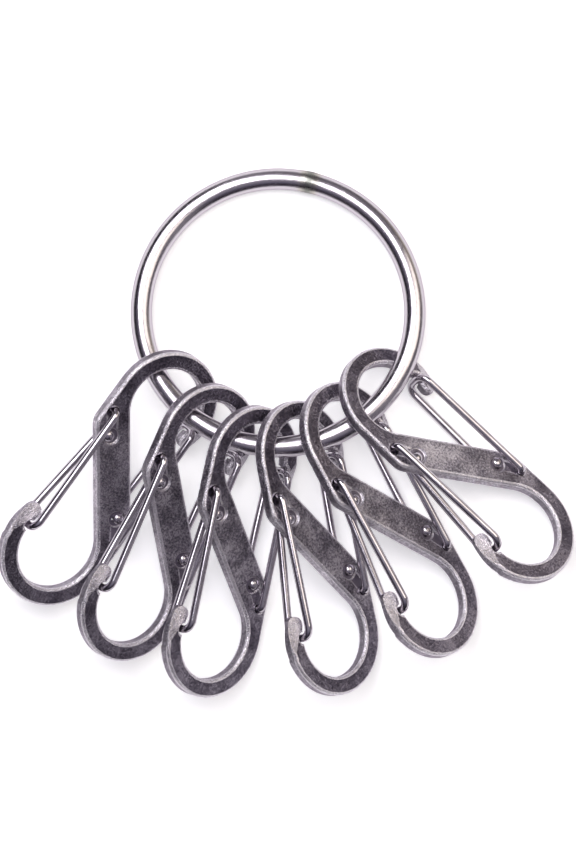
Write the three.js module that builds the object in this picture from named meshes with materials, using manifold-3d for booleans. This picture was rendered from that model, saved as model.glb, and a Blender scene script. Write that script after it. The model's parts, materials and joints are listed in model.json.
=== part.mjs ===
// A key ring of six double-gate S carabiners lying fanned out on a flat surface.
// Units are millimetres, +Z is up, and the surface that the object lies on is the plane z = 0.
//
// Each carabiner is a flat steel plate cut to an S. Its own frame has the plate's centre as origin,
// +Y along its length and +Z out of its front face. The upper hook opens to +X and the lower hook,
// half a turn away, opens to -X. A gate of bent wire closes each hook.
import * as THREE from 'three';
import { mergeVertices } from 'three/addons/utils/BufferGeometryUtils.js';
import Module from 'manifold-3d';

const wasm = await Module();
wasm.setup();

// ---- driving dimensions: the ring
const RING_OUTER_DIAMETER = 50.8;
const RING_WIRE_DIAMETER = 3.7;
const RING_CENTRE_HEIGHT = 4.9;
const RING_TILT = 10; // degrees: its far side lies on the table and its near side is held up
const RING_SEGMENTS = 44;
const RING_SIDES = 10;

// ---- driving dimensions: the carabiner plate
const PLATE_THICKNESS = 2.2;
const EDGE_CHAMFER = 0.25;
const LOWER_HOOK = { centre: new THREE.Vector2(-2.6, -15.2), outer: 10.6, inner: 7.4, nose: 153 };
const UPPER_HOOK = { centre: new THREE.Vector2(2.15, 15.0), outer: 9.9, inner: 6.8, nose: -27 };
const LOWER_CORNER = new THREE.Vector2(8.8, -7.4); // where the spine meets the arm of the lower hook
const UPPER_CORNER = new THREE.Vector2(-8.8, 7.5);
const CORNER_ROUNDING = 1.2;
const ARC_STEP = 18; // degrees of arc for each straight piece of an outline
const HOLE_SIDES = 12;

// ---- driving dimensions: the wire gates
const WIRE_DIAMETER = 1.35;
const WIRE_SIDES = 8;
const STEPS_PER_BEND = 3;
const GATE_OPENING = 22; // degrees of travel, inwards
const PIVOT_NEAR = new THREE.Vector2(5.1, -6.1); // the two ends of the upper gate's wire
const PIVOT_FAR = new THREE.Vector2(6.5, -10.4);
const NECK_RADIUS = 0.45; // the wire is turned down where it passes through the plate
const NECK_PLAY = 0.15;
const HEAD_RADIUS = 0.95; // the domed, peened end of each neck
const HEAD_HEIGHT = 0.55;
const HEAD_GAP = 0.25;
const LEG_GAP = 0.17; // between a leg and the face that it lies along
const BEND_HALF_WIDTH = 2.6; // from the plate's middle to a leg's centre, at the nose
const BEND_ROUNDING = 1.9;
const FOOT_ROUNDING = 0.95;
const BEND_INSET = 0.05; // how far the bend's centre stands inside the hook's inner edge
const SEAT_ANGLE = 15; // degrees back from the nose to the seat of the bend
const SEAT_PLAY = 0.3;

// ---- driving dimensions: the pocket pressed into each face round a pivot
const POCKET_DEPTH = 0.4;
const POCKET_RADIUS_AT_HEAD = 1.5;
const POCKET_RADIUS_AT_LEG = 1.25;

// ---- how the six carabiners lie, from the leftmost to the rightmost
// around: direction of the carabiner's centre from the ring's centre, in degrees
// out: distance between those centres; height: of the carabiner's centre above the table
// turn: of its length from +Y, about the vertical; lean: upper hook up
// roll: about its length, the side towards -X up
const CARABINERS = [
  { around: 224.6, out: 40.2, height: 6.75, turn: -30.1, roll: 35.1, lean: 4.5 },
  { around: 242.5, out: 40.35, height: 7.5, turn: -18.1, roll: 40.1, lean: 5.6 },
  { around: 259.2, out: 41.45, height: 7.8, turn: -6.6, roll: 42.5, lean: 5.8 },
  { around: 279.4, out: 40.6, height: 7.85, turn: 16.2, roll: 43.2, lean: 5.8 },
  { around: 298.2, out: 39.9, height: 7.75, turn: 33.2, roll: 42.1, lean: 5.8 },
  { around: 319.6, out: 39.9, height: 7.15, turn: 52.0, roll: 38.7, lean: 4.8 },
];

// ---- finishes
const polishedSteel = new THREE.MeshStandardMaterial({ color: 0xb9b6bd, metalness: 1, roughness: 0.18 });
const tumbledSteel = new THREE.MeshStandardMaterial({ color: 0x77717c, metalness: 1, roughness: 0.42 });

const radians = THREE.MathUtils.degToRad;
const HALF_PLATE = PLATE_THICKNESS / 2;
const WIRE_RADIUS = WIRE_DIAMETER / 2;

// ---------------------------------------------------------------- solids
function solid(geometry) {
  const bare = geometry.clone();
  bare.deleteAttribute('normal');
  bare.deleteAttribute('uv');
  const merged = mergeVertices(bare, 1e-5);
  return new wasm.Manifold(new wasm.Mesh({
    numProp: 3,
    vertProperties: new Float32Array(merged.attributes.position.array),
    triVerts: new Uint32Array(merged.index.array),
  }));
}

function geometryOf(manifold) {
  const mesh = manifold.getMesh();
  const geometry = new THREE.BufferGeometry();
  geometry.setAttribute('position', new THREE.BufferAttribute(new Float32Array(mesh.vertProperties), 3));
  geometry.setIndex(new THREE.BufferAttribute(new Uint32Array(mesh.triVerts), 1));
  geometry.computeVertexNormals();
  return geometry;
}

// ---------------------------------------------------------------- plane geometry
function polar(centre, radius, degrees) {
  const angle = radians(degrees);
  return new THREE.Vector2(centre.x + radius * Math.cos(angle), centre.y + radius * Math.sin(angle));
}

function arc(centre, radius, from, to) {
  const count = Math.max(2, Math.ceil(Math.abs(to - from) / ARC_STEP));
  return Array.from({ length: count + 1 }, (_, i) => polar(centre, radius, from + ((to - from) * i) / count));
}

// the direction, from a circle's centre, of the point where a line from outside touches it
function tangentDirection(centre, radius, point, side) {
  const towards = point.clone().sub(centre);
  const spread = Math.acos(radius / towards.length());
  return THREE.MathUtils.radToDeg(towards.angle() + side * spread);
}

function roundedCorner(before, corner, after) {
  const start = corner.clone().add(before.clone().sub(corner).setLength(CORNER_ROUNDING));
  const end = corner.clone().add(after.clone().sub(corner).setLength(CORNER_ROUNDING));
  return new THREE.QuadraticBezierCurve(start, corner, end).getPoints(3);
}

// one hook with its nose, from the arm's outer edge round to the arm's inner edge
function hookOutline(hook, outerCorner, innerCorner) {
  const middle = (hook.outer + hook.inner) / 2;
  const armEnd = tangentDirection(hook.centre, hook.outer, outerCorner, -1);
  const eyeStart = tangentDirection(hook.centre, hook.inner, innerCorner, -1);
  const outerSweep = THREE.MathUtils.euclideanModulo(armEnd - hook.nose, 360);
  const innerSweep = THREE.MathUtils.euclideanModulo(eyeStart - hook.nose, 360);
  return {
    tip: arc(polar(hook.centre, middle, hook.nose), (hook.outer - hook.inner) / 2, hook.nose + 180, hook.nose + 360),
    outside: arc(hook.centre, hook.outer, hook.nose, hook.nose + outerSweep),
    inside: arc(hook.centre, hook.inner, hook.nose + innerSweep, hook.nose),
  };
}

function plateOutline() {
  const lower = hookOutline(LOWER_HOOK, LOWER_CORNER, UPPER_CORNER);
  const upper = hookOutline(UPPER_HOOK, UPPER_CORNER, LOWER_CORNER);
  return [
    ...lower.outside,
    ...roundedCorner(lower.outside.at(-1), LOWER_CORNER, upper.inside[0]),
    ...upper.inside,
    ...upper.tip.slice(1, -1),
    ...upper.outside,
    ...roundedCorner(upper.outside.at(-1), UPPER_CORNER, lower.inside[0]),
    ...lower.inside,
    ...lower.tip.slice(1, -1),
  ];
}

// ---------------------------------------------------------------- the gates' places on the plate
// The two ends of a gate's wire stand either side of its hinge axis, so each end travels along a
// short arc as the gate opens. The holes are bored that much over size.
function gateLayout(hook, far, near) {
  const pivot = far.clone().add(near).multiplyScalar(0.5);
  const halfway = radians(GATE_OPENING / 2);
  const middleOfTravel = (end) => end.clone().rotateAround(pivot, halfway);
  const reach = far.distanceTo(pivot);
  return {
    far,
    near,
    seat: polar(hook.centre, hook.inner - BEND_INSET, hook.nose + SEAT_ANGLE),
    farHole: middleOfTravel(far),
    nearHole: middleOfTravel(near),
    holeRadius: NECK_RADIUS + NECK_PLAY + reach * Math.sin(halfway),
  };
}

const halfTurn = (point) => point.clone().negate();
const UPPER_GATE = gateLayout(UPPER_HOOK, PIVOT_FAR, PIVOT_NEAR);
const LOWER_GATE = gateLayout(LOWER_HOOK, halfTurn(PIVOT_FAR), halfTurn(PIVOT_NEAR));

// ---------------------------------------------------------------- the plate
function boreCutter(centre, radius) {
  const geometry = new THREE.CylinderGeometry(radius, radius, 2 * PLATE_THICKNESS, HOLE_SIDES);
  geometry.rotateX(Math.PI / 2);
  geometry.translate(centre.x, centre.y, 0);
  return solid(geometry);
}

// a pocket is wide round the head of one end and narrower where the other end's leg goes in
function pocket(head, leg, side) {
  const along = THREE.MathUtils.radToDeg(leg.clone().sub(head).angle());
  const rim = [
    ...arc(head, POCKET_RADIUS_AT_HEAD, along + 90, along + 270),
    ...arc(leg, POCKET_RADIUS_AT_LEG, along - 90, along + 90),
  ];
  const geometry = new THREE.ExtrudeGeometry(new THREE.Shape(rim), { depth: 1, bevelEnabled: false });
  geometry.translate(0, 0, side > 0 ? HALF_PLATE - POCKET_DEPTH : POCKET_DEPTH - HALF_PLATE - 1);
  return solid(geometry);
}

function plateGeometry() {
  const blank = new THREE.ExtrudeGeometry(new THREE.Shape(plateOutline()), {
    depth: PLATE_THICKNESS - 2 * EDGE_CHAMFER,
    bevelThickness: EDGE_CHAMFER,
    bevelSize: EDGE_CHAMFER,
    bevelOffset: -EDGE_CHAMFER,
    bevelSegments: 1,
  });
  blank.translate(0, 0, EDGE_CHAMFER - HALF_PLATE);
  let plate = solid(blank);
  for (const gate of [UPPER_GATE, LOWER_GATE]) {
    plate = plate
      .subtract(pocket(gate.nearHole, gate.farHole, 1))
      .subtract(pocket(gate.farHole, gate.nearHole, -1))
      .subtract(boreCutter(gate.farHole, gate.holeRadius))
      .subtract(boreCutter(gate.nearHole, gate.holeRadius))
      .subtract(boreCutter(gate.seat, WIRE_RADIUS + SEAT_PLAY));
  }
  return geometryOf(plate);
}

// ---------------------------------------------------------------- the wire
// A bent wire's centre line: straight runs with round bends, sampled only where it bends.
class BentWire extends THREE.Curve {
  constructor(corners, roundings) {
    super();
    this.stops = [corners[0]];
    for (let i = 1; i < corners.length - 1; i += 1) {
      const towards = (other) => other.clone().sub(corners[i]).setLength(roundings[i - 1]).add(corners[i]);
      const bend = new THREE.QuadraticBezierCurve3(towards(corners[i - 1]), corners[i], towards(corners[i + 1]));
      this.stops.push(...bend.getPoints(STEPS_PER_BEND));
    }
    this.stops.push(corners.at(-1));
  }

  getPoint(t) {
    const place = t * (this.stops.length - 1);
    const before = Math.min(Math.floor(place + 1e-9), this.stops.length - 2);
    return this.stops[before].clone().lerp(this.stops[before + 1], place - before);
  }

  getPointAt(t) {
    return this.getPoint(t);
  }

  getTangentAt(t) {
    const near = Math.round(t * (this.stops.length - 1));
    const before = this.stops[Math.max(near - 1, 0)];
    const after = this.stops[Math.min(near + 1, this.stops.length - 1)];
    return after.clone().sub(before).normalize();
  }
}

function wireGeometry(curve) {
  const round = Array.from({ length: WIRE_SIDES }, (_, i) => (
    polar(new THREE.Vector2(), WIRE_RADIUS, (i * 360) / WIRE_SIDES)));
  const steps = curve.stops.length - 1;
  return new THREE.ExtrudeGeometry(new THREE.Shape(round), { steps, extrudePath: curve });
}

// the turned-down neck through the plate and its domed head beyond the far pocket
function neckAndHead(place, legSide) {
  const headBase = HALF_PLATE - POCKET_DEPTH + HEAD_GAP;
  const profile = [
    new THREE.Vector2(0, HALF_PLATE + WIRE_RADIUS),
    new THREE.Vector2(NECK_RADIUS, HALF_PLATE + WIRE_RADIUS),
    new THREE.Vector2(NECK_RADIUS, -headBase),
    new THREE.Vector2(HEAD_RADIUS, -headBase),
    new THREE.Vector2(HEAD_RADIUS * 0.92, -headBase - HEAD_HEIGHT * 0.5),
    new THREE.Vector2(HEAD_RADIUS * 0.55, -headBase - HEAD_HEIGHT * 0.88),
    new THREE.Vector2(0, -headBase - HEAD_HEIGHT),
  ].reverse();
  const geometry = new THREE.LatheGeometry(profile, WIRE_SIDES);
  geometry.rotateX(legSide > 0 ? Math.PI / 2 : -Math.PI / 2);
  geometry.translate(place.x, place.y, 0);
  return solid(geometry);
}

// One leg runs along the front face from the far end, the other along the back from the near end.
function gateGeometry(gate) {
  const legHeight = HALF_PLATE + LEG_GAP + WIRE_RADIUS;
  const footHeight = HALF_PLATE - POCKET_DEPTH + HEAD_GAP;
  const at = (point, z) => new THREE.Vector3(point.x, point.y, z);
  const corners = [
    at(gate.far, footHeight),
    at(gate.far, legHeight),
    at(gate.seat, BEND_HALF_WIDTH),
    at(gate.seat, -BEND_HALF_WIDTH),
    at(gate.near, -legHeight),
    at(gate.near, -footHeight),
  ];
  const roundings = [FOOT_ROUNDING, BEND_ROUNDING, BEND_ROUNDING, FOOT_ROUNDING];
  const wire = solid(wireGeometry(new BentWire(corners, roundings)));
  return geometryOf(wire.add(neckAndHead(gate.far, 1)).add(neckAndHead(gate.near, -1)));
}

// ---------------------------------------------------------------- the ring
function ringGeometry() {
  const wireRadius = RING_WIRE_DIAMETER / 2;
  const centreRadius = RING_OUTER_DIAMETER / 2 - wireRadius;
  const section = Array.from({ length: RING_SIDES + 1 }, (_, i) => (
    polar(new THREE.Vector2(centreRadius, 0), wireRadius, (i * 360) / RING_SIDES)));
  const lathe = new THREE.LatheGeometry(section, RING_SEGMENTS);
  lathe.rotateX(Math.PI / 2);
  return geometryOf(solid(lathe));
}

// ---------------------------------------------------------------- the assembly
const keyring = new THREE.Group();

function piece(name, geometry, material) {
  const mesh = new THREE.Mesh(geometry, material);
  mesh.name = name;
  return mesh;
}

const ring = piece('key_ring', ringGeometry(), polishedSteel);
ring.position.z = RING_CENTRE_HEIGHT;
ring.rotation.x = radians(-RING_TILT);
keyring.add(ring);

const plateShape = plateGeometry();
const upperGateShape = gateGeometry(UPPER_GATE);
const lowerGateShape = gateGeometry(LOWER_GATE);
CARABINERS.forEach((lie, index) => {
  const carabiner = new THREE.Group();
  const centre = polar(new THREE.Vector2(), lie.out, lie.around);
  carabiner.position.set(centre.x, centre.y, lie.height);
  carabiner.rotation.set(radians(lie.lean), radians(lie.roll), radians(lie.turn), 'ZXY');
  const name = `carabiner_${index + 1}`;
  carabiner.add(
    piece(`${name}_plate`, plateShape, tumbledSteel),
    piece(`${name}_upper_gate`, upperGateShape, polishedSteel),
    piece(`${name}_lower_gate`, lowerGateShape, polishedSteel),
  );
  keyring.add(carabiner);
});

// the origin goes to the middle of the object's box, on the table
keyring.updateMatrixWorld(true);
const box = new THREE.Box3().setFromObject(keyring, true);
const middle = box.getCenter(new THREE.Vector3());
keyring.position.set(-middle.x, -middle.y, -box.min.z);

export default keyring;
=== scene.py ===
# %% [markdown]
# # A key ring of six double-gate carabiners
# The object is a welded steel ring with six flat S-shaped carabiners fanned out on it.
# Each carabiner is a plate with two hooks, and each hook is closed by a gate of bent wire.
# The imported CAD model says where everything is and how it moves. This script makes the same
# 19 parts again with the rounding, pockets, weld and surface that a close look needs.

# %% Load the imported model
import json
import math
import bmesh
import bpy
from mathutils import Matrix, Quaternion, Vector


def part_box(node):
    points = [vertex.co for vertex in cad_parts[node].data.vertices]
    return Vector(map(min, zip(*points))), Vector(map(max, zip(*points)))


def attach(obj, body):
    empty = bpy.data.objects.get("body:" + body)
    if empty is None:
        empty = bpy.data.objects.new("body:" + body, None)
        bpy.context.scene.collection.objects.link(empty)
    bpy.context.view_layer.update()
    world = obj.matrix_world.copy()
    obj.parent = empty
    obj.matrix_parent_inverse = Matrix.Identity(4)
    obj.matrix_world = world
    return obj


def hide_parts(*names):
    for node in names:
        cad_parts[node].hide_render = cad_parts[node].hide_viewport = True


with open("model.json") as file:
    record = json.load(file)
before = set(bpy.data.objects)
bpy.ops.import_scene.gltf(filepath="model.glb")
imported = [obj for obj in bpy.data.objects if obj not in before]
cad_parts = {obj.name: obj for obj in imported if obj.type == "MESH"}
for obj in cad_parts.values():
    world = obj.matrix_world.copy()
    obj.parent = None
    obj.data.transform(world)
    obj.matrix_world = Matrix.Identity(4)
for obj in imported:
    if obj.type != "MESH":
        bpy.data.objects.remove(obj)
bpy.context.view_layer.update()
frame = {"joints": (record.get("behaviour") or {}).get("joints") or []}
joints = {joint["name"]: joint for joint in frame["joints"]}
NUMBERS = range(1, 7)

# %% [markdown]
# ## The camera
# The object lies on a table and is seen from straight above, from about 0.64 m, which makes the
# perspective gentle. The lens follows from that distance and from the height of the view, so both
# are given as real lengths. The camera comes first because everything else is judged through it.

# %% Camera above the table
VIEW_HEIGHT = 0.1483
CAMERA_DISTANCE = 0.64
SENSOR = 36.0
MEAN_PLANE = 0.008
VIEW_CENTRE = (0.0001, -0.00003)


def aim_camera():
    camera = bpy.data.objects.new("camera", bpy.data.cameras.new("camera"))
    bpy.context.scene.collection.objects.link(camera)
    camera.data.sensor_width = SENSOR
    camera.data.lens = SENSOR * CAMERA_DISTANCE / VIEW_HEIGHT
    camera.data.clip_start, camera.data.clip_end = 0.01, 10
    camera.location = (*VIEW_CENTRE, MEAN_PLANE + CAMERA_DISTANCE)
    bpy.context.scene.camera = camera
    return camera


camera = aim_camera()
print("lens in mm:", round(camera.data.lens, 1))

# %% [markdown]
# ## Nodes
# Materials and Geometry Nodes trees are both graphs of nodes. One small function adds a node,
# sets its properties, and fills its inputs: a socket of another node becomes a link, and
# anything else becomes the input's own value. Colours are written as the hex values of a colour
# picker, which are sRGB, so a second function turns them into the linear values Blender wants.

# %% Helpers for nodes and colours
def add(tree, kind, inputs=None, **settings):
    node = tree.nodes.new(kind)
    for key, value in settings.items():
        setattr(node, key, value)
    for key, value in (inputs or {}).items():
        if isinstance(value, bpy.types.NodeSocket):
            tree.links.new(value, node.inputs[key])
        else:
            node.inputs[key].default_value = value
    return node


def linear(hex_colour):
    channels = [int(hex_colour[i:i + 2], 16) / 255 for i in (1, 3, 5)]
    return tuple(c / 12.92 if c <= 0.04045 else ((c + 0.055) / 1.055) ** 2.4
                 for c in channels) + (1.0,)


def new_material(name):
    material = bpy.data.materials.new(name)
    material.use_nodes = True
    tree = material.node_tree
    tree.nodes.clear()
    output = add(tree, "ShaderNodeOutputMaterial")
    return material, tree, output


def ramp(tree, factor, stops):
    """A colour ramp from (position, hex colour or grey level) pairs."""
    node = add(tree, "ShaderNodeValToRGB", {0: factor})
    elements = node.color_ramp.elements
    while len(elements) < len(stops):
        elements.new(0.5)
    for element, (position, value) in zip(elements, stops):
        element.position = position
        element.color = linear(value) if isinstance(value, str) else (value, value, value, 1)
    return node.outputs[0]


print("node helpers ready")

# %% [markdown]
# ## Tumbled stainless plate
# The carabiner plates are stamped stainless steel, deburred by tumbling them with ceramic chips.
# That leaves a satin face that is a mottle of small dull and shiny patches 0.3 to 0.6 mm wide,
# thin scratches in every direction, and rims rubbed bright. Rims, facets and walls are also
# lifted towards near white as a painted highlight, and pockets are darkened as painted shade.
# The pattern is measured in the plate's own millimetres, stored as an attribute, so it stays on
# the plate when it moves, and every plate has its own shift so that no two look the same.

# %% Material: tumbled stainless plate
SCRATCH_STRETCH = 20
SCRATCH_SOFTNESS = 0.06


def scratches(tree, place, angle, density, threshold):
    """Thin straight marks in one direction: noise stretched twenty times along it."""
    turned = add(tree, "ShaderNodeMapping", {
        "Vector": place, "Rotation": (0, 0, math.radians(angle)),
        "Scale": (density, density / SCRATCH_STRETCH, density)})
    marks = add(tree, "ShaderNodeTexNoise", {
        "Vector": turned.outputs[0], "Scale": 1.0, "Detail": 2.0, "Roughness": 0.6})
    return ramp(tree, marks.outputs[0],
                [(threshold, 0.0), (threshold + SCRATCH_SOFTNESS, 1.0)])


def tumbled_stainless():
    material, tree, output = new_material("tumbled stainless plate")
    place = add(tree, "ShaderNodeAttribute", attribute_name="plate_place").outputs["Vector"]
    rim = add(tree, "ShaderNodeAttribute", attribute_name="rim").outputs["Fac"]
    recess = add(tree, "ShaderNodeAttribute", attribute_name="recess").outputs["Fac"]
    # chips leave dull and shiny patches about 0.4 mm wide, over broad patches of 4 mm
    mottle = add(tree, "ShaderNodeTexNoise", {
        "Vector": place, "Scale": 2.6, "Detail": 4.0, "Roughness": 0.72}).outputs[0]
    broad = add(tree, "ShaderNodeTexNoise", {
        "Vector": place, "Scale": 0.25, "Detail": 2.0}).outputs[0]
    grit = add(tree, "ShaderNodeTexNoise", {
        "Vector": place, "Scale": 7.0, "Detail": 2.0, "Roughness": 0.7}).outputs[0]
    mixed = add(tree, "ShaderNodeMath", {0: mottle, 1: 0.65}, operation="MULTIPLY").outputs[0]
    mixed = add(tree, "ShaderNodeMath", {0: broad, 1: 0.35, 2: mixed},
                operation="MULTIPLY_ADD").outputs[0]
    body = ramp(tree, mixed, [(0.40, "#5f5b64"), (0.5, "#938e97"), (0.6, "#d0cbd2")])
    # the hooks rub against everything and go dark and glossy, the flat middle stays satin
    along = add(tree, "ShaderNodeSeparateXYZ", {0: place}).outputs["Y"]
    along = add(tree, "ShaderNodeMath", {0: along}, operation="ABSOLUTE").outputs[0]
    hook = add(tree, "ShaderNodeMapRange", {
        "Value": along, "From Min": 6.0, "From Max": 14.0}).outputs[0]
    body = add(tree, "ShaderNodeMix", {0: hook, 6: body, 7: linear("#bab7be")},
               data_type="RGBA", blend_type="MULTIPLY").outputs[2]
    # rims are rubbed bright, but not evenly, and their colour is lifted towards near white as a
    # painted highlight
    wear_and_highlight = add(tree, "ShaderNodeMath", {0: mottle, 1: 1.5, 2: 0.1},
               operation="MULTIPLY_ADD", use_clamp=True).outputs[0]
    wear_and_highlight = add(tree, "ShaderNodeMath", {0: wear_and_highlight, 1: rim}, operation="MULTIPLY").outputs[0]
    colour = add(tree, "ShaderNodeMix", {0: wear_and_highlight, 6: body, 7: linear("#ece8ee")},
                 data_type="RGBA").outputs[2]
    # pockets are darkened here as painted shade
    colour = add(tree, "ShaderNodeMix", {0: recess, 6: colour, 7: linear("#7f7985")},
                 data_type="RGBA").outputs[2]
    marks = add(tree, "ShaderNodeMath", {
        0: scratches(tree, place, 24, 7.0, 0.62), 1: scratches(tree, place, -63, 6.0, 0.63)},
        operation="MAXIMUM").outputs[0]
    marks = add(tree, "ShaderNodeMath", {0: marks, 1: scratches(tree, place, 82, 8.0, 0.62)},
                operation="MAXIMUM").outputs[0]
    roughness = add(tree, "ShaderNodeMapRange", {
        "Value": mixed, "From Min": 0.35, "From Max": 0.65, "To Min": 0.46, "To Max": 0.26})
    roughness = add(tree, "ShaderNodeMath", {0: hook, 1: -0.08, 2: roughness.outputs[0]},
                    operation="MULTIPLY_ADD").outputs[0]
    roughness = add(tree, "ShaderNodeMath", {0: wear_and_highlight, 1: -0.06, 2: roughness},
                    operation="MULTIPLY_ADD").outputs[0]
    grain = add(tree, "ShaderNodeMath", {0: mottle, 1: 0.7, 2: grit},
                operation="MULTIPLY_ADD").outputs[0]
    relief = add(tree, "ShaderNodeMath", {0: marks, 1: -0.5, 2: grain},
                 operation="MULTIPLY_ADD").outputs[0]
    # the stamped face is not quite flat: it rises and falls by hundredths of a millimetre
    wave = add(tree, "ShaderNodeTexNoise", {
        "Vector": place, "Scale": 0.17, "Detail": 1.0}).outputs[0]
    dished = add(tree, "ShaderNodeBump", {"Strength": 1.0, "Distance": 0.0003, "Height": wave})
    strength = add(tree, "ShaderNodeMath", {0: rim, 1: 0.4, 2: 0.5},
                   operation="MULTIPLY_ADD").outputs[0]
    bump = add(tree, "ShaderNodeBump", {
        "Strength": strength, "Distance": 0.00009, "Height": relief,
        "Normal": dished.outputs[0]})
    steel = add(tree, "ShaderNodeBsdfPrincipled", {
        "Base Color": colour, "Metallic": 1.0, "Roughness": roughness,
        "Specular Tint": linear("#d9d2da"), "Normal": bump.outputs[0]})
    tree.links.new(steel.outputs[0], output.inputs[0])
    return material


plate_steel = tumbled_stainless()
print("made", plate_steel.name)

# %% [markdown]
# ## Polished spring wire
# The gates are drawn stainless spring wire. Drawing leaves very fine marks on the wire and
# polishing nearly removes them, so the wire is a mirror with a slight haze.

# %% Material: polished spring wire
def polished_wire():
    material, tree, output = new_material("polished stainless spring wire")
    place = add(tree, "ShaderNodeTexCoord").outputs["Object"]
    haze = add(tree, "ShaderNodeTexNoise", {
        "Vector": place, "Scale": 900.0, "Detail": 3.0, "Roughness": 0.6}).outputs[0]
    patches = add(tree, "ShaderNodeTexNoise", {
        "Vector": place, "Scale": 220.0, "Detail": 2.0}).outputs[0]
    colour = ramp(tree, patches, [(0.35, "#b0abb2"), (0.65, "#c8c3ca")])
    roughness = add(tree, "ShaderNodeMapRange", {
        "Value": haze, "From Min": 0.3, "From Max": 0.7, "To Min": 0.07, "To Max": 0.18})
    bump = add(tree, "ShaderNodeBump", {
        "Strength": 0.25, "Distance": 0.00003, "Height": haze})
    steel = add(tree, "ShaderNodeBsdfPrincipled", {
        "Base Color": colour, "Metallic": 1.0, "Roughness": roughness.outputs[0],
        "Specular Tint": linear("#c4bcc4"), "Normal": bump.outputs[0]})
    tree.links.new(steel.outputs[0], output.inputs[0])
    return material


gate_steel = polished_wire()
print("made", gate_steel.name)

# %% [markdown]
# ## Polished ring wire
# The ring is thicker drawn wire that was butt welded and polished. Fine drawing lines still run
# along it, so its highlights are a little streaky. The heat of the weld leaves a dull greenish
# grey tint, which fades out along the wire on both sides.

# %% Material: polished ring wire with a heat-tinted weld
def polished_ring():
    material, tree, output = new_material("polished stainless ring wire")
    place = add(tree, "ShaderNodeAttribute", attribute_name="ring_place").outputs["Vector"]
    weld = add(tree, "ShaderNodeAttribute", attribute_name="weld").outputs["Fac"]
    # drawing lines: 8 to the millimetre across the wire, fifty times longer along it
    lines = add(tree, "ShaderNodeMapping", {"Vector": place, "Scale": (0.16, 8.0, 8.0)})
    drawn = add(tree, "ShaderNodeTexNoise", {
        "Vector": lines.outputs[0], "Scale": 1.0, "Detail": 3.0, "Roughness": 0.7}).outputs[0]
    spots = add(tree, "ShaderNodeTexNoise", {
        "Vector": place, "Scale": 1.3, "Detail": 3.0}).outputs[0]
    tint = ramp(tree, weld, [(0.0, "#bfbac0"), (0.3, "#b0aca6"), (1.0, "#7f817b")])
    roughness = add(tree, "ShaderNodeMapRange", {
        "Value": spots, "From Min": 0.3, "From Max": 0.7, "To Min": 0.13, "To Max": 0.22})
    roughness = add(tree, "ShaderNodeMath", {0: weld, 1: 0.12, 2: roughness.outputs[0]},
                    operation="MULTIPLY_ADD").outputs[0]
    bump = add(tree, "ShaderNodeBump", {
        "Strength": 0.5, "Distance": 0.00003, "Height": drawn})
    steel = add(tree, "ShaderNodeBsdfPrincipled", {
        "Base Color": tint, "Metallic": 1.0, "Roughness": roughness,
        "Specular Tint": linear("#c4bcc4"), "Normal": bump.outputs[0]})
    tree.links.new(steel.outputs[0], output.inputs[0])
    return material


ring_steel = polished_ring()
print("made", ring_steel.name)

# %% [markdown]
# ## Plane curves
# A carabiner's outline is a chain of arcs and straight runs. It is drawn once, in millimetres,
# in the plate's own frame: the centre of the plate is the origin, +Y runs along its length and
# +Z comes out of its front face. The two hooks are half a turn apart and differ a little in size.

# %% Arcs and the plate's dimensions
PLATE_THICKNESS = 2.2
LOWER_HOOK = {"centre": Vector((-2.6, -15.2)), "outer": 10.6, "inner": 7.4, "nose": 153.0}
UPPER_HOOK = {"centre": Vector((2.15, 15.0)), "outer": 9.9, "inner": 6.8, "nose": -27.0}
LOWER_CORNER = Vector((8.8, -7.4))
UPPER_CORNER = Vector((-8.8, 7.5))
CORNER_ROUNDING = 1.2
CORNER_STEPS = 8
ARC_STEP = 3.0
SMALL_ARC_STEP = 12.0
SLOT_ARC_STEP = 15.0
HALF_PLATE = PLATE_THICKNESS / 2
WIRE_RADIUS = 0.675
SEAT_ANGLE = 15.0
SEAT_INSET = 0.05
SEAT_RADIUS = WIRE_RADIUS + 0.3
NOSE_RELIEF = 0.2
NOSE_LENGTH = 34.0
NOSE_STEP = 2.0


def polar(centre, radius, degrees):
    angle = math.radians(degrees)
    return Vector((centre.x + radius * math.cos(angle), centre.y + radius * math.sin(angle)))


def bearing(vector):
    return math.degrees(math.atan2(vector.y, vector.x))


def arc(centre, radius, start, end, step=ARC_STEP):
    count = max(2, math.ceil(abs(end - start) / step))
    return [polar(centre, radius, start + (end - start) * i / count) for i in range(count + 1)]


def tangent_bearing(centre, radius, point):
    """Direction from a circle's centre to where a line from an outside point touches it."""
    towards = point - centre
    return bearing(towards) - math.degrees(math.acos(radius / towards.length))


def rounded_corner(before, corner, after):
    start = corner + (before - corner).normalized() * CORNER_ROUNDING
    end = corner + (after - corner).normalized() * CORNER_ROUNDING
    return [start * (1 - t) ** 2 + corner * 2 * t * (1 - t) + end * t * t
            for t in (i / CORNER_STEPS for i in range(CORNER_STEPS + 1))]


print("hooks:", LOWER_HOOK["outer"] * 2, "and", UPPER_HOOK["outer"] * 2, "mm wide")

# %% [markdown]
# ## The hook and its nose
# A hook is two nearly concentric arcs closed by a rounded tip. On the real part the nose is
# finished separately: its outer edge is dressed 0.2 mm lower for about 6 mm, which leaves a
# small step, and a notch across its inner edge takes the bend of the gate wire.

# %% Hook outline and the whole plate outline
def notch(hook):
    """The seat of the gate's bend, cut into the hook's inner edge."""
    reach, inner = hook["inner"] - SEAT_INSET, hook["inner"]
    cosine = (reach ** 2 + inner ** 2 - SEAT_RADIUS ** 2) / (2 * reach * inner)
    half_width = math.degrees(math.acos(cosine))
    opening = math.degrees(math.acos((inner * cosine - reach) / SEAT_RADIUS))
    middle = hook["nose"] + SEAT_ANGLE
    seat = polar(hook["centre"], reach, middle)
    return half_width, arc(seat, SEAT_RADIUS, middle + opening, middle - opening,
                           SMALL_ARC_STEP)


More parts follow.
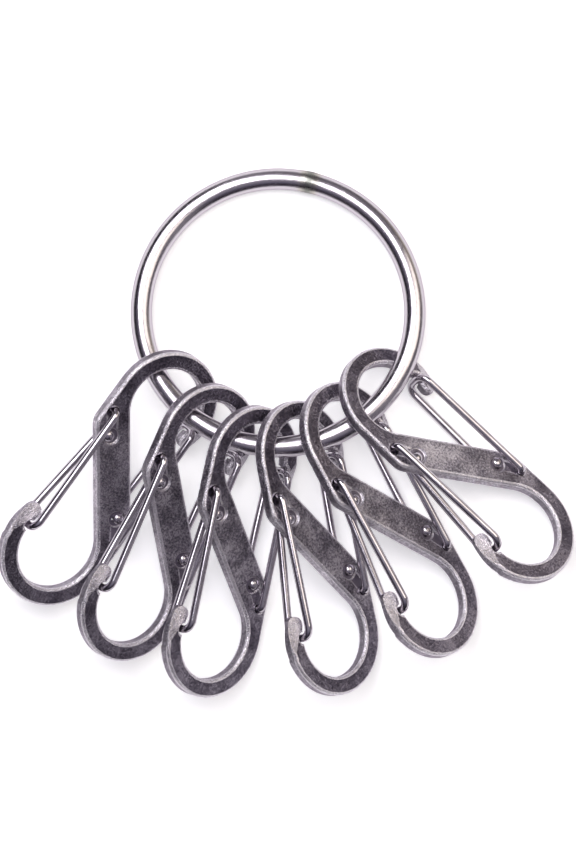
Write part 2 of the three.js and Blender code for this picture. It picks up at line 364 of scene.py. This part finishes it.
def hook_outline(hook, outer_corner, inner_corner):
    centre, outer, inner, nose = (hook[k] for k in ("centre", "outer", "inner", "nose"))
    dressed = outer - NOSE_RELIEF
    arm_end = nose + (tangent_bearing(centre, outer, outer_corner) - nose) % 360
    eye_start = nose + (tangent_bearing(centre, inner, inner_corner) - nose) % 360
    half_width, seat = notch(hook)
    middle = nose + SEAT_ANGLE
    return {
        "tip": arc(polar(centre, (dressed + inner) / 2, nose), (dressed - inner) / 2,
                   nose + 180, nose + 360, SMALL_ARC_STEP),
        "outside": arc(centre, dressed, nose, nose + NOSE_LENGTH)
        + arc(centre, outer, nose + NOSE_LENGTH + NOSE_STEP, arm_end),
        "inside": arc(centre, inner, eye_start, middle + half_width)
        + seat[1:-1] + arc(centre, inner, middle - half_width, nose),
    }


def plate_outline():
    lower = hook_outline(LOWER_HOOK, LOWER_CORNER, UPPER_CORNER)
    upper = hook_outline(UPPER_HOOK, UPPER_CORNER, LOWER_CORNER)
    points = (lower["outside"]
              + rounded_corner(lower["outside"][-1], LOWER_CORNER, upper["inside"][0])
              + upper["inside"] + upper["tip"][1:-1] + upper["outside"]
              + rounded_corner(upper["outside"][-1], UPPER_CORNER, lower["inside"][0])
              + lower["inside"] + lower["tip"][1:-1])
    return [p for i, p in enumerate(points) if (p - points[i - 1]).length > 1e-4]


outline = plate_outline()
print("outline:", len(outline), "points")

# %% [markdown]
# ## The blank
# Tumbling rounds every rim by about half a millimetre. A Bevel modifier could do that, but
# its result depends on how sharp each corner is. The rim is built directly instead: the outline
# is repeated at several heights, each copy pulled inwards along its own normals by as much as a
# quarter circle needs there.

# %% Rounded blank
RIM = 0.52
RIM_STEPS = 5


def inward_normals(points):
    """Mitred inward directions of a closed outline that runs counter-clockwise."""
    normals = []
    for i, point in enumerate(points):
        before = (point - points[i - 1]).normalized()
        after = (points[(i + 1) % len(points)] - point).normalized()
        side = Vector((-before.y - after.y, before.x + after.x)).normalized()
        normals.append(side / max(0.5, side.dot(Vector((-after.y, after.x)))))
    return normals


def stacked_solid(name, layers):
    """A closed mesh through layers that all have the same number of points."""
    mesh = bmesh.new()
    rings = [[mesh.verts.new(p) for p in layer] for layer in layers]
    for low, high in zip(rings, rings[1:]):
        for i in range(len(low)):
            j = (i + 1) % len(low)
            mesh.faces.new((low[i], low[j], high[j], high[i]))
    mesh.faces.new(rings[0][::-1])
    mesh.faces.new(rings[-1])
    bmesh.ops.recalc_face_normals(mesh, faces=mesh.faces[:])
    data = bpy.data.meshes.new(name)
    mesh.to_mesh(data)
    mesh.free()
    blank = bpy.data.objects.new(name, data)
    bpy.context.scene.collection.objects.link(blank)
    return blank


def plate_blank():
    normals = inward_normals(outline)
    quarter = [math.radians(90 * i / RIM_STEPS) for i in range(RIM_STEPS + 1)]
    layers = []
    for side, angles in ((-1, quarter[::-1]), (1, quarter)):
        for angle in angles:
            layers.append([
                (*(p + n * RIM * (1 - math.cos(angle))),
                 side * (HALF_PLATE - RIM * (1 - math.sin(angle))))
                for p, n in zip(outline, normals)])
    return stacked_solid("plate_blank", layers)


blank = plate_blank()
print("blank:", len(blank.data.polygons), "faces")

# %% [markdown]
# ## Pockets and holes for the gate ends
# Each gate is held by its two sprung ends, which go into the plate from opposite faces. Where an
# end's domed head comes through, the face has a round dish 0.4 mm deep, and a shallow channel,
# 0.14 mm deep, runs from the dish to the hole of the other end. The ends swing on a short arc as
# the gate opens, so their holes are short slots. Both sides of each nose also have a ground
# facet. Each cutter is a stack of outlines, and Boolean modifiers take them out.

# %% Cutters
PIVOT_NEAR = Vector((5.1, -6.1))
PIVOT_FAR = Vector((6.5, -10.4))
GATE_OPENING = 22.0
POCKET_DEPTH = 0.4
HEAD_POCKET = 1.52
CHANNEL_RADIUS = 1.0
CHANNEL_DEPTH = 0.14
ENTRY_RADIUS = 0.8
NECK_SLOT_RADIUS = 0.45
ENTRY_FLOOR = 0.1
NECK_SLOT_OVERLAP = 0.5
SLOT_REACH = 3.0
FACET_DEPTH = 0.8
FACET_INSET = 0.75
FACET_LEAD = 14.0
SLAB_OVERHANG = 4.0
SLAB_WIDTH = 5.0
SLAB_HEIGHT = 3.0
SLAB_MARGIN = 1e-3


def turned(point, pivot, degrees):
    return pivot + Matrix.Rotation(math.radians(degrees), 2) @ (point - pivot)


def around_two(a, b, radius):
    """An oblong loop round two points."""
    along = bearing(b - a)
    return (arc(a, radius, along + 90, along + 270, SLOT_ARC_STEP)
            + arc(b, radius, along - 90, along + 90, SLOT_ARC_STEP))


def dish_cutter(head, side):
    """A round dish with a softened lip, deep enough for the domed head."""
    profile = ((0.5, 0.6), (0.06, 0.2), (-0.05, 0.1), (-0.2, 0.02), (-0.32, -0.05),
               (-POCKET_DEPTH, -0.2))
    layers = [[(*p, side * (HALF_PLATE + height))
               for p in arc(head, HEAD_POCKET + wider, 0, 360, SMALL_ARC_STEP)[:-1]]
              for height, wider in profile[::-side]]
    return stacked_solid("dish_cutter", layers)


def channel_cutter(head, leg, side):
    """A shallow pressed channel from the dish to where the other end goes in."""
    profile = ((0.5, 0.7), (0.04, 0.22), (-0.06, 0.08), (-CHANNEL_DEPTH, -0.15))
    layers = [[(*p, side * (HALF_PLATE + height))
               for p in around_two(head, leg, CHANNEL_RADIUS + wider)]
              for height, wider in profile[::-side]]
    return stacked_solid("channel_cutter", layers)


def slot_cutter(end, pivot, radius, low, high):
    loop = around_two(end, turned(end, pivot, GATE_OPENING), radius)
    return stacked_solid("slot_cutter", [[(*p, z) for p in loop] for z in (low, high)])


def facet_cutter(hook, side):
    """A slanting slab that grinds a facet on the nose, widest at its tip."""
    centre, nose = hook["centre"], hook["nose"]
    start = Vector((*polar(centre, hook["inner"] + FACET_INSET, nose - FACET_LEAD), HALF_PLATE))
    end = Vector((*polar(centre, hook["outer"], nose + NOSE_LENGTH), HALF_PLATE))
    low = Vector((*polar(centre, hook["outer"], nose), HALF_PLATE - FACET_DEPTH))
    along = (end - start).normalized()
    across = (low - start) - along * (low - start).dot(along)
    across.normalize()
    up = across.cross(along) * (1 if across.cross(along).z > 0 else -1)
    first, last = start - along * SLAB_OVERHANG, end + along * SLAB_OVERHANG
    corners = [first - across * SLAB_MARGIN, last - across * SLAB_MARGIN,
               last + across * SLAB_WIDTH, first + across * SLAB_WIDTH]
    layers = [[(c.x, c.y, c.z * side) for c in (corner + up * height for corner in corners)]
              for height in (0.0, SLAB_HEIGHT)]
    return stacked_solid("facet_cutter", layers)


def gate_cutters(far, near):
    pivot = (far + near) / 2
    far_middle, near_middle = (turned(p, pivot, GATE_OPENING / 2) for p in (far, near))
    return [
        dish_cutter(near_middle, 1),
        dish_cutter(far_middle, -1),
        channel_cutter(near_middle, far_middle, 1),
        channel_cutter(far_middle, near_middle, -1),
        slot_cutter(far, pivot, ENTRY_RADIUS, ENTRY_FLOOR, SLOT_REACH),
        slot_cutter(near, pivot, ENTRY_RADIUS, -SLOT_REACH, -ENTRY_FLOOR),
        slot_cutter(far, pivot, NECK_SLOT_RADIUS, -SLOT_REACH, NECK_SLOT_OVERLAP),
        slot_cutter(near, pivot, NECK_SLOT_RADIUS, -NECK_SLOT_OVERLAP, SLOT_REACH),
    ]


cutters = gate_cutters(PIVOT_FAR, PIVOT_NEAR) + gate_cutters(-PIVOT_FAR, -PIVOT_NEAR)
cutters += [facet_cutter(hook, side) for hook in (LOWER_HOOK, UPPER_HOOK) for side in (1, -1)]
print("cutters:", len(cutters))

# %% [markdown]
# ## Finishing the plate
# The cutters are taken out one after another and the result becomes a plain mesh. Faces are then
# sorted by where they are and which way they look, because the finish depends on that: rims are
# rubbed bright and, with facets and walls, get a painted highlight, and pockets get painted
# shade. A Weighted Normal modifier keeps the broad face optically flat although its edge is
# smooth shaded.

# %% Cut, sort and smooth the plate
SHARP_ANGLE = math.radians(38)
FACE_WEIGHT = 80
END_REACH = 2.3
RECESS_START = 0.02
WALL_FACING = 0.12
FLAT_FACING = 0.995
BROAD_AREA = 1.0
# how far each kind of face is lifted towards near white: partly wear, partly painted highlight
RIM_WEAR_AND_HIGHLIGHT = 1.0
BROAD_WEAR_AND_HIGHLIGHT = 0.7
WALL_WEAR_AND_SHEEN = 0.2


def evaluated_mesh(thing, name):
    """The mesh that an object's modifiers make, as new data; the object itself is removed."""
    graph = bpy.context.evaluated_depsgraph_get()
    graph.update()
    made = bpy.data.meshes.new_from_object(thing.evaluated_get(graph))
    made.name = name
    bpy.data.objects.remove(thing)
    return made


def cut_plate():
    for cutter in cutters:
        modifier = blank.modifiers.new(cutter.name, "BOOLEAN")
        modifier.operation, modifier.solver, modifier.object = "DIFFERENCE", "EXACT", cutter
    mesh = evaluated_mesh(blank, "plate")
    for cutter in cutters:
        bpy.data.objects.remove(cutter)
    return mesh


def face_kinds(mesh):
    """Marks rims (rubbed bright, with a painted highlight) and recesses (painted shade) on the
    faces.

    A face is a wall, a broad flat or, between the two, a slanting face of a rim or a facet.
    """
    ends = [p * s for p in (PIVOT_FAR, PIVOT_NEAR) for s in (1, -1)]
    rims, recess_shade = [], []
    for face in mesh.polygons:
        centre, facing = face.center, abs(face.normal.z)
        near_end = min((Vector(centre.xy) - end).length for end in ends) < END_REACH
        recess = near_end and abs(centre.z) < HALF_PLATE - RECESS_START
        slanting = WALL_FACING < facing < FLAT_FACING
        # rims, facets and walls get a painted highlight on top of their wear
        if slanting:
            rims.append(BROAD_WEAR_AND_HIGHLIGHT if recess or face.area >= BROAD_AREA else RIM_WEAR_AND_HIGHLIGHT)
        else:
            rims.append(WALL_WEAR_AND_SHEEN if facing < WALL_FACING and not recess else 0.0)
        # faces inside the pockets get painted shade
        recess_shade.append(1.0 if recess and not slanting else 0.0)
    for name, values in (("rim", rims), ("recess", recess_shade)):
        mesh.attributes.new(name, "FLOAT", "FACE").data.foreach_set("value", values)


def smooth(mesh):
    mesh.polygons.foreach_set("use_smooth", [True] * len(mesh.polygons))
    mesh.set_sharp_from_angle(angle=SHARP_ANGLE)
    holder = bpy.data.objects.new("holder", mesh)
    bpy.context.scene.collection.objects.link(holder)
    modifier = holder.modifiers.new("even faces", "WEIGHTED_NORMAL")
    modifier.keep_sharp, modifier.weight = True, FACE_WEIGHT
    return evaluated_mesh(holder, mesh.name)


plate_mesh = cut_plate()
face_kinds(plate_mesh)
plate_mesh = smooth(plate_mesh)
plate_mesh.materials.append(plate_steel)
print("plate:", len(plate_mesh.polygons), "faces")

# %% [markdown]
# ## Putting a carabiner's parts in place
# The two gate hinges of a carabiner fix its place completely: their midpoint is the centre of
# the plate, their shared axis is the plate's normal, and the line between them has a known
# direction in the plate's own frame. A finished mesh is moved there by changing its points, so
# its object stays at the origin, unturned and unscaled.

# %% Places taken from the joints
MM = 0.001


def carabiner_place(number):
    upper = joints[f"carabiner_{number}_upper_gate_hinge"]
    lower = joints[f"carabiner_{number}_lower_gate_hinge"]
    upper_at, lower_at = Vector(upper["pos_m"]), Vector(lower["pos_m"])
    normal = Vector(upper["axis"]).normalized()
    turn = Quaternion(normal, -math.radians(bearing(PIVOT_FAR + PIVOT_NEAR)))
    x_axis = turn @ (upper_at - lower_at).normalized()
    place = Matrix((x_axis, normal.cross(x_axis), normal)).transposed().to_4x4()
    place.translation = (upper_at + lower_at) / 2
    return place @ Matrix.Scale(MM, 4)


def put(name, mesh, place, body):
    """A copy of a mesh, moved into place, that stands for the CAD node of the same name."""
    mesh = mesh.copy()
    mesh.name = name
    mesh.transform(place)
    piece = bpy.data.objects.new(name + "_detailed", mesh)
    bpy.context.scene.collection.objects.link(piece)
    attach(piece, body)
    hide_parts(name)
    return piece


places = {number: carabiner_place(number) for number in NUMBERS}
print("carabiner centres in mm:",
      [tuple(round(v * 1000, 1) for v in places[n].translation) for n in NUMBERS])

# %% [markdown]
# ## Six plates
# All six plates are the same stamping, so one mesh serves them all. Before a copy is moved, its
# points are stored in it as an attribute, shifted by a different amount for every plate. The
# material reads its pattern from that attribute, so each plate is worn in its own way.

# %% Six plates
PATTERN_SHIFT = 37.0


def plate_copy(number):
    """Each copy remembers its own millimetres, shifted, as the base of its surface pattern."""
    mesh = plate_mesh.copy()
    shift = Vector((0.0, 0.0, number * PATTERN_SHIFT))
    values = [v for point in mesh.vertices for v in point.co + shift]
    mesh.attributes.new("plate_place", "FLOAT_VECTOR", "POINT").data.foreach_set(
        "vector", values)
    return mesh


for number in NUMBERS:
    put(f"carabiner_{number}_plate", plate_copy(number), places[number],
        f"carabiner_{number}")
print("placed", len(NUMBERS), "plates")

# %% [markdown]
# ## The wire gates
# A gate is one piece of spring wire: a leg along each face of the plate, a bend that crosses
# over at the nose, and two feet that turn into the plate. A pin at each end reaches through the
# plate and has a domed head on the far face. It is a small turned profile, made first, because
# the tree below sets a copy of it on each end of the wire.

# %% The pin: a neck through the plate and its domed head
FOOT_DEPTH = 0.3
HEAD_BASE = 0.74
HEAD_TOP = 1.58
HEAD_EDGE = 0.12
HEAD_RADIUS = 1.05
HEAD_UNDERSIDE = 0.94
NECK_RADIUS = 0.35
NECK_START = -0.2
PIN_SIDES = 32
PIN_SHARP_ANGLE = math.radians(50)


def pin_object():
    dome = [(HEAD_RADIUS * math.cos(math.radians(a)),
             HEAD_BASE + HEAD_EDGE
             + (HEAD_TOP - HEAD_BASE - HEAD_EDGE) * math.sin(math.radians(a)))
            for a in range(0, 89, 11)]
    profile = [(NECK_RADIUS, NECK_START), (NECK_RADIUS, HEAD_BASE),
               (HEAD_RADIUS * HEAD_UNDERSIDE, HEAD_BASE)]
    turns = [math.tau * k / PIN_SIDES for k in range(PIN_SIDES)]
    layers = [[(r * math.cos(t), r * math.sin(t), z + FOOT_DEPTH) for t in turns]
              for r, z in profile + dome]
    pin = stacked_solid("pin", layers)
    pin.data.polygons.foreach_set("use_smooth", [True] * len(pin.data.polygons))
    pin.data.set_sharp_from_angle(angle=PIN_SHARP_ANGLE)
    return pin


pin = pin_object()
print("pin:", len(pin.data.polygons), "faces")

# %% [markdown]
# ## A tree for bent wire
# Geometry Nodes suit a gate, because its wire follows a path of a few corners. The tree rounds
# each corner by its own radius, sweeps a circle along the path, and sets a pin on each end,
# turned the way that end points. A point that is not an end has no such direction.

# %% Geometry Nodes tree: bent wire with a pin on each end
def new_tree(name, sockets):
    tree = bpy.data.node_groups.new(name, "GeometryNodeTree")
    tree.interface.new_socket("Geometry", in_out="INPUT", socket_type="NodeSocketGeometry")
    for socket, kind in sockets:
        tree.interface.new_socket(socket, in_out="INPUT", socket_type="NodeSocket" + kind)
    tree.interface.new_socket("Geometry", in_out="OUTPUT", socket_type="NodeSocketGeometry")
    given = add(tree, "NodeGroupInput").outputs
    return tree, given


def bent_wire_tree():
    tree, given = new_tree("bent wire", [
        ("Wire radius", "Float"), ("Sides", "Int"), ("Steps in a bend", "Int"),
        ("Pin", "Object"), ("Material", "Material")])
    rounding = add(tree, "GeometryNodeInputNamedAttribute", {"Name": "rounding"},
                   data_type="FLOAT").outputs[0]
    path = add(tree, "GeometryNodeMeshToCurve", {"Mesh": given["Geometry"]})
    path = add(tree, "GeometryNodeFilletCurve", {
        "Curve": path.outputs[0], "Count": given["Steps in a bend"], "Radius": rounding,
        "Limit Radius": True}, mode="POLY")
    circle = add(tree, "GeometryNodeCurvePrimitiveCircle", {
        "Resolution": given["Sides"], "Radius": given["Wire radius"]})
    wire = add(tree, "GeometryNodeCurveToMesh", {
        "Curve": path.outputs[0], "Profile Curve": circle.outputs[0], "Fill Caps": True})
    wire = add(tree, "GeometryNodeSetShadeSmooth", {"Geometry": wire.outputs[0]})
    outwards = add(tree, "GeometryNodeInputNamedAttribute", {"Name": "outwards"},
                   data_type="FLOAT_VECTOR").outputs[0]
    is_end = add(tree, "ShaderNodeVectorMath", {0: outwards}, operation="LENGTH")
    turn = add(tree, "FunctionNodeAlignRotationToVector", {"Vector": outwards}, axis="Z")
    shape = add(tree, "GeometryNodeObjectInfo", {"Object": given["Pin"]})
    pins = add(tree, "GeometryNodeInstanceOnPoints", {
        "Points": given["Geometry"], "Selection": is_end.outputs["Value"],
        "Instance": shape.outputs["Geometry"], "Rotation": turn.outputs[0]})
    pins = add(tree, "GeometryNodeRealizeInstances", {"Geometry": pins.outputs[0]})
    joined = add(tree, "GeometryNodeJoinGeometry", {"Geometry": pins.outputs[0]})
    tree.links.new(wire.outputs[0], joined.inputs[0])
    dressed = add(tree, "GeometryNodeSetMaterial", {
        "Geometry": joined.outputs[0], "Material": given["Material"]})
    add(tree, "NodeGroupOutput", {"Geometry": dressed.outputs[0]})
    return tree


bent_wire = bent_wire_tree()
print("tree:", bent_wire.name, "with", len(bent_wire.nodes), "nodes")

# %% [markdown]
# ## Running a tree
# A tree runs as a modifier of an object. Its inputs have identifiers of their own, so they are
# looked up by name and set before the object is first evaluated. What comes out is kept as a
# plain mesh, which can be moved into place like any other.

# %% Run a tree on a mesh and keep the plain result
def grow(name, mesh, tree, **values):
    """Inputs are set by their sockets' identifiers before the first evaluation."""
    carrier = bpy.data.objects.new(name, mesh)
    bpy.context.scene.collection.objects.link(carrier)
    modifier = carrier.modifiers.new(tree.name, "NODES")
    modifier.node_group = tree
    wanted = {key.replace("_", " ").lower(): value for key, value in values.items()}
    for item in tree.interface.items_tree:
        if item.item_type == "SOCKET" and item.in_out == "INPUT" and item.name.lower() in wanted:
            modifier[item.identifier] = wanted[item.name.lower()]
    return evaluated_mesh(carrier, name)


print("trees can be run")

# %% [markdown]
# ## The path of a gate wire
# The path has six corners. It starts inside the plate at the far end, comes up, runs along the
# front face to the nose, crosses over through the notch, and comes back along the rear face to
# the near end. The legs leave the face at a slant, as the bend at the nose is wider than the
# plate is thick.

# %% Both gates
LEG_GAP = 0.17
LEG_HEIGHT = HALF_PLATE + LEG_GAP + WIRE_RADIUS
BEND_HALF_WIDTH = 2.6
BEND_ROUNDING = 1.9
FOOT_ROUNDING = 0.95


def gate_mesh(name, hook, far, near):
    seat = polar(hook["centre"], hook["inner"] - SEAT_INSET, hook["nose"] + SEAT_ANGLE)
    corners = [(*far, FOOT_DEPTH), (*far, LEG_HEIGHT), (*seat, BEND_HALF_WIDTH),
               (*seat, -BEND_HALF_WIDTH), (*near, -LEG_HEIGHT), (*near, -FOOT_DEPTH)]
    path = bpy.data.meshes.new(name + "_path")
    path.from_pydata(corners, [(i, i + 1) for i in range(5)], [])
    path.attributes.new("rounding", "FLOAT", "POINT").data.foreach_set(
        "value", [0, FOOT_ROUNDING, BEND_ROUNDING, BEND_ROUNDING, FOOT_ROUNDING, 0])
    path.attributes.new("outwards", "FLOAT_VECTOR", "POINT").data.foreach_set(
        "vector", [0, 0, -1] + [0, 0, 0] * 4 + [0, 0, 1])
    return grow(name, path, bent_wire, wire_radius=WIRE_RADIUS, sides=28, steps_in_a_bend=14,
                pin=pin, material=gate_steel)


upper_gate = gate_mesh("upper_gate", UPPER_HOOK, PIVOT_FAR, PIVOT_NEAR)
lower_gate = gate_mesh("lower_gate", LOWER_HOOK, -PIVOT_FAR, -PIVOT_NEAR)
bpy.data.objects.remove(pin)
for number in NUMBERS:
    for which, mesh in (("upper", upper_gate), ("lower", lower_gate)):
        name = f"carabiner_{number}_{which}_gate"
        put(name, mesh, places[number], name)
print("placed 12 gates of", len(upper_gate.polygons), "faces")

# %% [markdown]
# ## The ring
# The ring is one turn of round wire whose ends are butt welded. After grinding and polishing a
# faint uneven swelling remains, about a tenth of a millimetre over the wire. The tree sweeps a
# circle round a circle, then moves the surface outwards near the weld. It also stores how far
# along and across the wire each point is, which the finish needs for its drawing lines.

# %% Geometry Nodes tree: welded ring
def maths(tree, operation, *values):
    return add(tree, "ShaderNodeMath", dict(enumerate(values)), operation=operation).outputs[0]


def welded_ring_tree():
    tree, given = new_tree("welded ring", [
        ("Ring radius", "Float"), ("Wire radius", "Float"), ("Steps", "Int"), ("Sides", "Int"),
        ("Weld length", "Float"), ("Bead height", "Float"), ("Seed", "Float"),
        ("Material", "Material")])
    round_path = add(tree, "GeometryNodeCurvePrimitiveCircle", {
        "Resolution": given["Steps"], "Radius": given["Ring radius"]})
    section = add(tree, "GeometryNodeCurvePrimitiveCircle", {
        "Resolution": given["Sides"], "Radius": given["Wire radius"]})
    ring = add(tree, "GeometryNodeCurveToMesh", {
        "Curve": round_path.outputs[0], "Profile Curve": section.outputs[0]})
    place = add(tree, "GeometryNodeInputPosition").outputs[0]
    parts = add(tree, "ShaderNodeSeparateXYZ", {0: place}).outputs
    # both angles are measured from +X, where the weld is: one is nought there, the other jumps
    # there, so that the seam of the surface pattern is hidden in the weld
    from_weld = maths(tree, "MULTIPLY", maths(tree, "ARCTAN2", parts["Y"], parts["X"]),
                      given["Ring radius"])
    angle = maths(tree, "ARCTAN2", maths(tree, "MULTIPLY", parts["Y"], -1.0),
                  maths(tree, "MULTIPLY", parts["X"], -1.0))
    along = maths(tree, "MULTIPLY", angle, given["Ring radius"])
    across = maths(tree, "SQRT", maths(tree, "MULTIPLY_ADD", parts["X"], parts["X"],
                                       maths(tree, "MULTIPLY", parts["Y"], parts["Y"])))
    stored = add(tree, "ShaderNodeCombineXYZ", {"X": along, "Y": across, "Z": parts["Z"]})
    ring = add(tree, "GeometryNodeStoreNamedAttribute", {
        "Geometry": ring.outputs[0], "Name": "ring_place", "Value": stored.outputs[0]},
        data_type="FLOAT_VECTOR", domain="POINT")
    share = maths(tree, "DIVIDE", from_weld, given["Weld length"])
    near_weld = maths(tree, "EXPONENT", maths(tree, "MULTIPLY", maths(
        tree, "MULTIPLY", share, share), -4.0))
    ring = add(tree, "GeometryNodeStoreNamedAttribute", {
        "Geometry": ring.outputs[0], "Name": "weld", "Value": near_weld},
        data_type="FLOAT", domain="POINT")
    lumps = add(tree, "ShaderNodeTexNoise", {
        "Vector": place, "W": given["Seed"], "Scale": 0.9, "Detail": 2.0},
        noise_dimensions="4D").outputs[0]
    height = maths(tree, "MULTIPLY", maths(tree, "MULTIPLY", near_weld, given["Bead height"]),
                   maths(tree, "MULTIPLY_ADD", lumps, 3.0, -0.7))
    normal = add(tree, "GeometryNodeInputNormal").outputs[0]
    offset = add(tree, "ShaderNodeVectorMath", {0: normal, "Scale": height},
                 operation="SCALE").outputs[0]
    ring = add(tree, "GeometryNodeSetPosition", {"Geometry": ring.outputs[0], "Offset": offset})
    ring = add(tree, "GeometryNodeSetShadeSmooth", {"Geometry": ring.outputs[0]})
    ring = add(tree, "GeometryNodeRealizeInstances", {"Geometry": ring.outputs[0]})
    ring = add(tree, "GeometryNodeSetMaterial", {
        "Geometry": ring.outputs[0], "Material": given["Material"]})
    add(tree, "NodeGroupOutput", {"Geometry": ring.outputs[0]})
    return tree


welded_ring = welded_ring_tree()
print("tree:", welded_ring.name, "with", len(welded_ring.nodes), "nodes")

# %% [markdown]
# ## The ring in its place
# The ring does not lie flat: its far side is on the table and its near side rests on the
# carabiners, so it leans by ten degrees. Its size comes from the box of the CAD ring, and its
# centre from the joints that let the carabiners slide round it.

# %% The ring in its place
RING_WIRE_RADIUS = 1.85
RING_TILT = math.radians(10.0)
WELD_BEARING = 77.0
ring_low, ring_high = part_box("key_ring")
ring_outer_radius = (ring_high.x - ring_low.x) / 2 / MM


def ring_place():
    """The ring's far side lies on the table and its near side is held up by the carabiners."""
    normal = Vector((0.0, math.sin(RING_TILT), math.cos(RING_TILT)))
    weld_way = Vector((math.cos(math.radians(WELD_BEARING)),
                       math.sin(math.radians(WELD_BEARING)), 0))
    x_axis = (weld_way - normal * weld_way.dot(normal)).normalized()
    place = Matrix((x_axis, normal.cross(x_axis), normal)).transposed().to_4x4()
    place.translation = Vector(joints["carabiner_3_slide_round_ring"]["pos_m"])
    return place @ Matrix.Scale(MM, 4)


ring_mesh = grow("ring", bpy.data.meshes.new("ring_start"), welded_ring,
                 ring_radius=ring_outer_radius - RING_WIRE_RADIUS,
                 wire_radius=RING_WIRE_RADIUS, steps=360, sides=48, weld_length=2.4,
                 bead_height=0.08, seed=3.0, material=ring_steel)
put("key_ring", ring_mesh, ring_place(), "ring")
print("ring:", round(ring_outer_radius * 2, 2), "mm across,", len(ring_mesh.polygons), "faces")

# %% [markdown]
# ## Floor and light
# The object lies on a plain pale table. Steel shows what is round it more than its own colour,
# and the white table brightens the edges that look down. The paper gives off a little light of
# its own, which keeps the shadows on it faint.

# %% Table
TABLE_REACH = 1.5
PAPER_GLOW = 0.42


def pale_paper():
    material, tree, output = new_material("pale matt paper")
    place = add(tree, "ShaderNodeTexCoord").outputs["Object"]
    fibres = add(tree, "ShaderNodeTexNoise", {"Vector": place, "Scale": 900.0, "Detail": 2.0})
    colour = ramp(tree, fibres.outputs[0], [(0.3, "#f7f7f8"), (0.7, "#fdfdfd")])
    paper = add(tree, "ShaderNodeBsdfPrincipled", {
        "Base Color": colour, "Roughness": 0.9, "Specular IOR Level": 0.1,
        "Emission Color": (1, 1, 1, 1), "Emission Strength": PAPER_GLOW})
    tree.links.new(paper.outputs[0], output.inputs[0])
    return material


def table():
    sheet = bmesh.new()
    bmesh.ops.create_grid(sheet, x_segments=1, y_segments=1, size=TABLE_REACH)
    data = bpy.data.meshes.new("table")
    sheet.to_mesh(data)
    sheet.free()
    data.materials.append(pale_paper())
    top = bpy.data.objects.new("table", data)
    bpy.context.scene.collection.objects.link(top)
    return top


table()
print("table laid")

# %% [markdown]
# ## Softboxes and surroundings
# Two broad softboxes above the object give the long highlights on the wires, the left one white
# and the right one a little warm. The surroundings are dark at eye level and greyer overhead,
# which gives the faces their grey. A dull glow on the right is reflected by slanting faces.

# %% Softboxes and surroundings
# the way from the object to the middle of the glow: right, a little to the back, low down
GLOW_SIDE = Vector((0.81, 0.57, 0.1)).normalized()


def softbox(name, place, width, height, power, colour):
    """An area light that faces the object and is not itself seen by the camera."""
    light = bpy.data.lights.new(name, "AREA")
    light.shape, light.size, light.size_y = "RECTANGLE", width, height
    light.energy, light.color = power, linear(colour)[:3]
    holder = bpy.data.objects.new(name, light)
    bpy.context.scene.collection.objects.link(holder)
    holder.location = place
    holder.rotation_mode = "QUATERNION"
    holder.rotation_quaternion = (-Vector(place)).to_track_quat("-Z", "Y")
    holder.visible_camera = False
    return holder


def surroundings():
    """Dark at eye level and greyer overhead, with a dull glow that is warm in its middle."""
    world = bpy.data.worlds.new("studio")
    world.use_nodes = True
    tree = world.node_tree
    tree.nodes.clear()
    way = add(tree, "ShaderNodeTexCoord").outputs["Generated"]
    height = add(tree, "ShaderNodeSeparateXYZ", {0: way}).outputs["Z"]
    shade = ramp(tree, height, [(0.0, "#242127"), (0.3, "#2e2a31"), (0.6, "#57525f"),
                                (0.85, "#8d8897"), (1.0, "#aaa6ae")])
    towards = add(tree, "ShaderNodeVectorMath", {0: way, 1: GLOW_SIDE},
                  operation="DOT_PRODUCT").outputs["Value"]
    side = ramp(tree, towards, [(0.1, "#000000"), (0.43, "#a29da4"), (0.75, "#79747b"),
                                (0.93, "#857f81"), (1.0, "#cbbfae")])
    mixed = add(tree, "ShaderNodeMix", {0: 1.0, 6: shade, 7: side},
                data_type="RGBA", blend_type="LIGHTEN").outputs[2]
    glow = add(tree, "ShaderNodeBackground", {"Color": mixed, "Strength": 1.0})
    output = add(tree, "ShaderNodeOutputWorld")
    tree.links.new(glow.outputs[0], output.inputs[0])
    bpy.context.scene.world = world


softbox("left softbox", (-0.115, 0.21, 0.50), 0.30, 0.50, 2.4, "#fdfbff")
softbox("right softbox", (0.37, 0.17, 0.50), 0.40, 0.45, 1.2, "#fff6e6")
surroundings()
bpy.context.scene.view_settings.view_transform = "Standard"
print("lights set")
